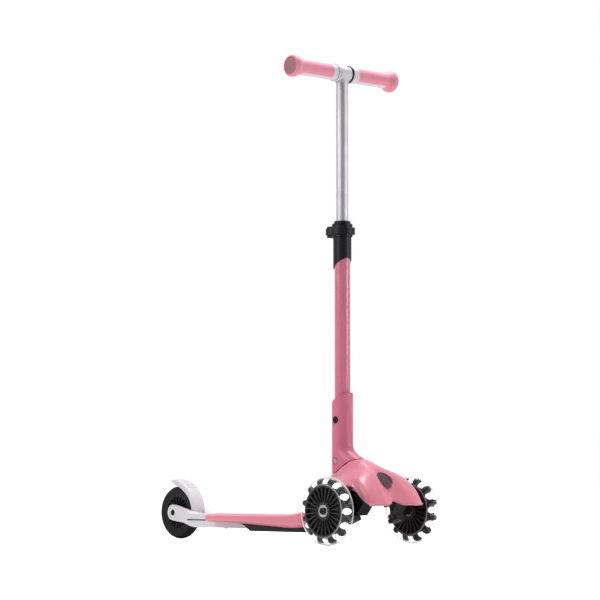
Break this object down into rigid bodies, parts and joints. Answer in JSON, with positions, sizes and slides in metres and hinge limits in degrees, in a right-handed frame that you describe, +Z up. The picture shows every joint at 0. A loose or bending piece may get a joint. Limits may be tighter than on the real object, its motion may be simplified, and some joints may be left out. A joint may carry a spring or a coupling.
{
  "type": "three wheel kids scooter",
  "caption": "Child's lean-to-steer scooter: two lit front wheels, one braked rear wheel, a folding stem with a height clamp and a deck that extends.",
  "frame": {"origin": "bottom centre of the overall box, on the floor under the deck", "axes": "+X forward, towards the two front wheels, +Y to the rider's left, +Z up"},
  "size_m": [0.634, 0.258, 0.8647],
  "materials": {
    "pink_plastic": "satin moulded plastic",
    "pink_paint": "satin powder coat",
    "pink_soft": "soft matt rubber",
    "pink_deep": "matt plastic",
    "white_plastic": "satin moulded plastic",
    "mat": "matt ribbed rubber",
    "black_plastic": "fine matt plastic",
    "rubber_tyre": "matt tyre",
    "hub_grey": "satin plastic",
    "clear_tyre": "clear soft plastic, lit from inside",
    "light_ring": "dark plastic with white lights",
    "badge": "plain satin disc",
    "aluminium": "brushed anodised",
    "steel": "bright plated"
  },
  "bodies": {
    "chassis": {"deck_shell": "pink_plastic", "deck_mat": "mat", "under_tray": "black_plastic", "nose_shell": "pink_plastic", "badge_disc": "badge", "crossmember": "black_plastic", "hinge_block": "aluminium", "fold_pin": "steel", "kingpin_left": "steel", "kingpin_right": "steel"},
    "neck": {"neck_sleeve": "pink_plastic", "neck_bolt": "black_plastic", "neck_nut": "black_plastic", "outer_tube": "pink_paint", "clamp_sleeve": "black_plastic", "clamp_collar": "black_plastic", "clamp_ring": "black_plastic", "clamp_pin": "steel"},
    "fold_button": {"fold_button": "black_plastic"},
    "clamp_lever": {"clamp_lever": "black_plastic"},
    "handlebar": {"inner_tube": "aluminium", "t_joint": "white_plastic", "handle_ring_left": "black_plastic", "handle_ring_right": "black_plastic", "handle_left": "white_plastic", "handle_right": "white_plastic", "grip_left": "pink_soft", "grip_right": "pink_soft", "grip_cap_left": "pink_deep", "grip_cap_right": "pink_deep"},
    "knuckle_right": {"knuckle_right": "black_plastic", "axle_bolt_right": "black_plastic", "tie_pin_right": "steel"},
    "knuckle_left": {"knuckle_left": "black_plastic", "axle_bolt_left": "black_plastic", "tie_pin_left": "steel"},
    "tie_rod": {"tie_rod": "aluminium"},
    "front_wheel_right": {"front_core_right": "hub_grey", "light_ring_right": "light_ring", "front_tyre_right": "clear_tyre", "bearing_outer_right": "steel", "bearing_inner_right": "steel"},
    "front_wheel_left": {"front_core_left": "hub_grey", "light_ring_left": "light_ring", "front_tyre_left": "clear_tyre", "bearing_outer_left": "steel", "bearing_inner_left": "steel"},
    "rear_frame": {"rear_frame": "white_plastic", "rear_axle": "black_plastic", "rear_axle_nut": "black_plastic", "fender_pin": "steel"},
    "extension_button": {"extension_button": "white_plastic"},
    "rear_wheel": {"rear_core": "black_plastic", "rear_tyre": "rubber_tyre", "rear_bearing_left": "steel", "rear_bearing_right": "steel"},
    "fender": {"fender": "white_plastic"}
  },
  "joints": [
    {"name": "stem_fold", "type": "hinge", "parent": "chassis", "child": "neck", "pos_m": [0.172, 0, 0.147], "axis": [0, -1, 0], "range_deg": [0, 90]},
    {"name": "fold_button_press", "type": "slide", "parent": "neck", "child": "fold_button", "axis": [1, 0, 0], "range_m": [0, 0.004], "stiffness_N_per_m": 400, "springref_m": -0.002},
    {"name": "handlebar_height", "type": "slide", "parent": "neck", "child": "handlebar", "axis": [0, 0, -1], "range_m": [0, 0.2]},
    {"name": "clamp_lever_open", "type": "hinge", "parent": "neck", "child": "clamp_lever", "pos_m": [0.148, -0.006, 0.559], "axis": [0, 0, -1], "range_deg": [0, 90]},
    {"name": "steer_right", "type": "hinge", "parent": "chassis", "child": "knuckle_right", "pos_m": [0.245, -0.062, 0.06], "axis": [-0.3746, 0, 0.9272], "range_deg": [-12, 12], "stiffness_Nm_per_rad": 12},
    {"name": "steer_left", "type": "hinge", "parent": "chassis", "child": "knuckle_left", "pos_m": [0.245, 0.062, 0.06], "axis": [-0.3746, 0, 0.9272], "range_deg": [-12, 12]},
    {"name": "tie_rod_swing", "type": "hinge", "parent": "knuckle_right", "child": "tie_rod", "pos_m": [0.21747, -0.062, 0.07476], "axis": [-0.3746, 0, 0.9272], "range_deg": [-12, 12]},
    {"name": "front_spin_right", "type": "hinge", "parent": "knuckle_right", "child": "front_wheel_right", "pos_m": [0.241, -0.107, 0.06], "axis": [0, 1, 0], "continuous": true},
    {"name": "front_spin_left", "type": "hinge", "parent": "knuckle_left", "child": "front_wheel_left", "pos_m": [0.241, 0.107, 0.06], "axis": [0, 1, 0], "continuous": true},
    {"name": "deck_extend", "type": "slide", "parent": "chassis", "child": "rear_frame", "axis": [-1, 0, 0], "range_m": [0, 0.06]},
    {"name": "extension_button_press", "type": "slide", "parent": "rear_frame", "child": "extension_button", "axis": [0, 0, 1], "range_m": [0, 0.003], "stiffness_N_per_m": 300, "springref_m": -0.002},
    {"name": "rear_spin", "type": "hinge", "parent": "rear_frame", "child": "rear_wheel", "pos_m": [-0.267, 0, 0.05], "axis": [0, 1, 0], "continuous": true},
    {"name": "brake_press", "type": "hinge", "parent": "rear_frame", "child": "fender", "pos_m": [-0.2055, 0, 0.0405], "axis": [0, -1, 0], "range_deg": [0, 3.5], "stiffness_Nm_per_rad": 5, "springref_deg": -5.73}
  ],
  "couplings": [
    {"joint": "steer_left", "follows": "steer_right", "ratio": 1},
    {"joint": "tie_rod_swing", "follows": "steer_right", "ratio": -1}
  ]
}
